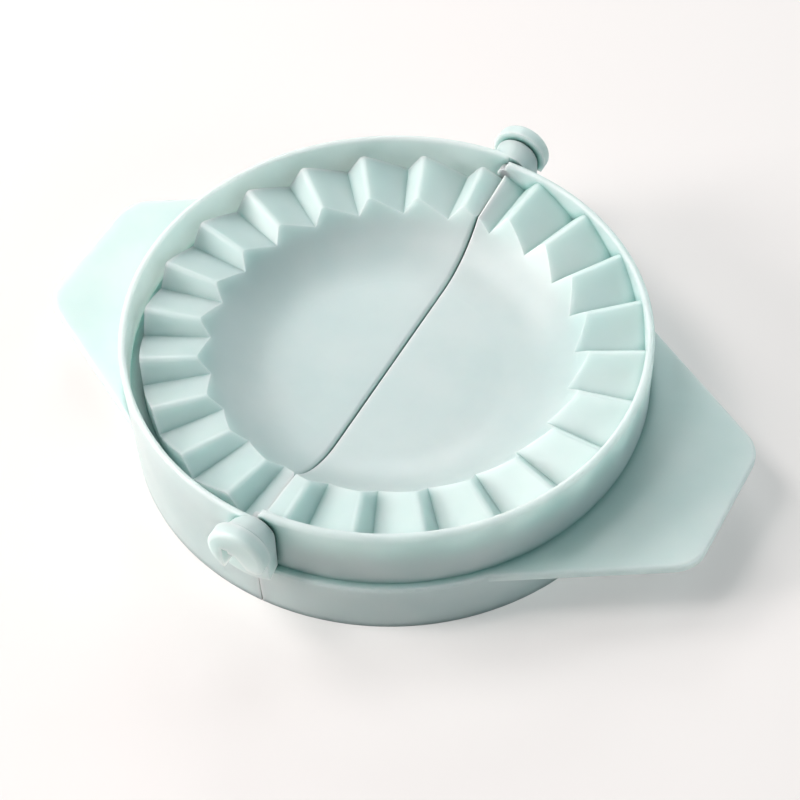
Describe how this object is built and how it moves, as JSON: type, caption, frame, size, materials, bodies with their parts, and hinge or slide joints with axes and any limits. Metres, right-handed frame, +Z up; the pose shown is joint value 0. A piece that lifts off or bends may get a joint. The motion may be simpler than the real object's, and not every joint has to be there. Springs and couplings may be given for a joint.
{
  "type": "empanada press",
  "caption": "Hinged plastic press for sealing filled dough: two half-round shells with bowls and saw-tooth crimping rims, joined at both ends, each with a flat tab to push.",
  "frame": {"origin": "on the table, under the middle of the opened press", "axes": "+X from the lipped half's tab to the stepped half's tab, +Y along the hinge axis to the back, +Z up"},
  "size_m": [0.138, 0.113, 0.0278],
  "materials": {
    "mint_plastic": "satin pale mint polypropylene"
  },
  "bodies": {
    "lipped": {"lipped_half": "mint_plastic", "front_hinge_pin": "mint_plastic", "back_hinge_pin": "mint_plastic"},
    "stepped": {"stepped_half": "mint_plastic"}
  },
  "joints": [
    {"name": "press_hinge", "type": "hinge", "parent": "lipped", "child": "stepped", "pos_m": [0, 0, 0.0222], "axis": [0, -1, 0], "range_deg": [0, 180]}
  ]
}
